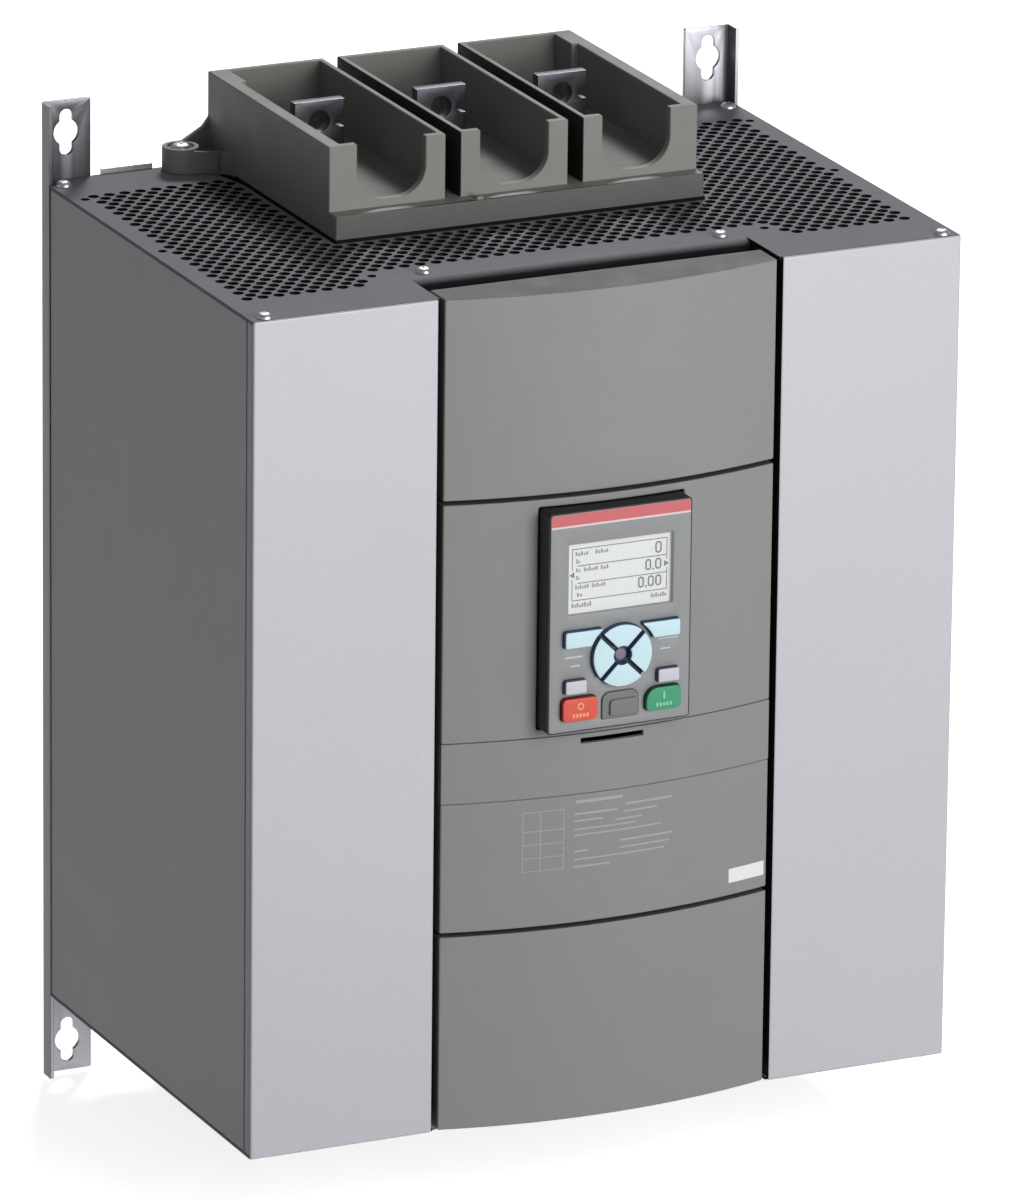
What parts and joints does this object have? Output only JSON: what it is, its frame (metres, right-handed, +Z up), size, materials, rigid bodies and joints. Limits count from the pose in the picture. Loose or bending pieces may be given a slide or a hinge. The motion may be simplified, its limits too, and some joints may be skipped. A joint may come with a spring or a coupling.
{
  "type": "soft starter",
  "caption": "Wall-mounted three-phase motor soft starter: sheet-metal case with vented top and bottom, plastic front covers, detachable keypad and cupped power terminals.",
  "frame": {"origin": "middle of the case on the wall plane", "axes": "+Z up, -Y towards the viewer, +X to the viewer's right"},
  "size_m": [0.361, 0.2732, 0.4958],
  "materials": {
    "galvanised": "galvanised sheet",
    "dark_paint": "fine textured dark grey paint",
    "side_paint": "fine textured grey paint",
    "silver_paint": "light silver paint",
    "zinc_screw": "zinc plated",
    "cover_plastic": "finely textured moulding",
    "black_plastic": "matt black",
    "block_plastic": "matt olive grey moulding",
    "tinned_copper": "tinned copper bar",
    "aluminium": "extruded",
    "dark_moulding": "moulded",
    "blue_moulding": "moulded",
    "fan_plastic": "moulded",
    "circuit_board": "solder mask",
    "green_terminal": "moulded",
    "brass_spacer": "turned",
    "keypad_face": "metallic grey film",
    "display_window": "clear",
    "display_module": "display",
    "red_key": "moulded",
    "green_key": "moulded",
    "grey_key": "moulded",
    "blue_key": "moulded",
    "port_cover": "moulded"
  },
  "bodies": {
    "case": {"mounting_rail_left": "galvanised", "mounting_rail_right": "galvanised", "rear_panel": "galvanised", "side_panel_left": "side_paint", "side_panel_right": "side_paint", "top_grille": "dark_paint", "bottom_grille": "dark_paint", "front_panel_left": "silver_paint", "front_panel_right": "silver_paint", "case_screws": "zinc_screw", "front_frame": "black_plastic", "middle_cover": "cover_plastic", "option_cover": "cover_plastic", "line_terminal_block": "block_plastic", "load_terminal_block": "block_plastic", "terminal_block_screws": "zinc_screw", "line_busbar_1": "tinned_copper", "line_busbar_2": "tinned_copper", "line_busbar_3": "tinned_copper", "load_busbar_1": "tinned_copper", "load_busbar_2": "tinned_copper", "load_busbar_3": "tinned_copper", "heat_sink_1": "aluminium", "heat_sink_2": "aluminium", "heat_sink_3": "aluminium", "thyristor_module_1": "dark_moulding", "thyristor_module_2": "dark_moulding", "thyristor_module_3": "dark_moulding", "bypass_contactor_1": "dark_moulding", "bypass_contactor_2": "dark_moulding", "bypass_contactor_3": "dark_moulding", "current_transformer_1": "blue_moulding", "current_transformer_2": "blue_moulding", "current_transformer_3": "blue_moulding", "fan_frame_left": "fan_plastic", "fan_frame_right": "fan_plastic", "firing_board": "circuit_board", "control_board": "circuit_board", "control_terminals": "green_terminal", "board_spacers": "brass_spacer"},
    "keypad": {"keypad_shell": "black_plastic", "keypad_face": "keypad_face", "display_window": "display_window", "lcd_module": "display_module", "keypad_board": "circuit_board"},
    "upper_cover": {"upper_cover": "cover_plastic"},
    "lower_cover": {"lower_cover": "cover_plastic"},
    "fan_rotor_left": {"fan_rotor_left": "fan_plastic"},
    "fan_rotor_right": {"fan_rotor_right": "fan_plastic"},
    "usb_cover": {"usb_cover": "port_cover"},
    "left_soft_key": {"left_soft_key": "blue_key"},
    "right_soft_key": {"right_soft_key": "blue_key"},
    "up_key": {"up_key": "blue_key"},
    "down_key": {"down_key": "blue_key"},
    "left_key": {"left_key": "blue_key"},
    "right_key": {"right_key": "blue_key"},
    "info_key": {"info_key": "grey_key"},
    "remote_key": {"remote_key": "grey_key"},
    "stop_key": {"stop_key": "red_key"},
    "start_key": {"start_key": "green_key"}
  },
  "joints": [
    {"name": "fan_left_spin", "type": "hinge", "parent": "case", "child": "fan_rotor_left", "pos_m": [-0.066, -0.142, -0.19], "axis": [0, 0, 1], "continuous": true},
    {"name": "fan_right_spin", "type": "hinge", "parent": "case", "child": "fan_rotor_right", "pos_m": [0.066, -0.142, -0.19], "axis": [0, 0, 1], "continuous": true},
    {"name": "upper_cover_pull", "type": "slide", "parent": "case", "child": "upper_cover", "axis": [0, -1, 0], "range_m": [0, 0.06]},
    {"name": "lower_cover_pull", "type": "slide", "parent": "case", "child": "lower_cover", "axis": [0, -1, 0], "range_m": [0, 0.06]},
    {"name": "keypad_pull", "type": "slide", "parent": "case", "child": "keypad", "axis": [0, -1, 0], "range_m": [0, 0.045]},
    {"name": "left_soft_key_press", "type": "slide", "parent": "keypad", "child": "left_soft_key", "axis": [0, 1, 0], "range_m": [0, 0.0008], "stiffness_N_per_m": 600},
    {"name": "right_soft_key_press", "type": "slide", "parent": "keypad", "child": "right_soft_key", "axis": [0, 1, 0], "range_m": [0, 0.0008], "stiffness_N_per_m": 600},
    {"name": "up_key_press", "type": "slide", "parent": "keypad", "child": "up_key", "axis": [0, 1, 0], "range_m": [0, 0.0008], "stiffness_N_per_m": 600},
    {"name": "down_key_press", "type": "slide", "parent": "keypad", "child": "down_key", "axis": [0, 1, 0], "range_m": [0, 0.0008], "stiffness_N_per_m": 600},
    {"name": "left_key_press", "type": "slide", "parent": "keypad", "child": "left_key", "axis": [0, 1, 0], "range_m": [0, 0.0008], "stiffness_N_per_m": 600},
    {"name": "right_key_press", "type": "slide", "parent": "keypad", "child": "right_key", "axis": [0, 1, 0], "range_m": [0, 0.0008], "stiffness_N_per_m": 600},
    {"name": "info_key_press", "type": "slide", "parent": "keypad", "child": "info_key", "axis": [0, 1, 0], "range_m": [0, 0.0008], "stiffness_N_per_m": 600},
    {"name": "remote_key_press", "type": "slide", "parent": "keypad", "child": "remote_key", "axis": [0, 1, 0], "range_m": [0, 0.0008], "stiffness_N_per_m": 600},
    {"name": "stop_key_press", "type": "slide", "parent": "keypad", "child": "stop_key", "axis": [0, 1, 0], "range_m": [0, 0.0008], "stiffness_N_per_m": 600},
    {"name": "start_key_press", "type": "slide", "parent": "keypad", "child": "start_key", "axis": [0, 1, 0], "range_m": [0, 0.0008], "stiffness_N_per_m": 600},
    {"name": "usb_cover_hinge", "type": "hinge", "parent": "keypad", "child": "usb_cover", "pos_m": [-0.0026, -0.271, -0.0031], "axis": [1, 0, 0], "range_deg": [0, 110]}
  ]
}
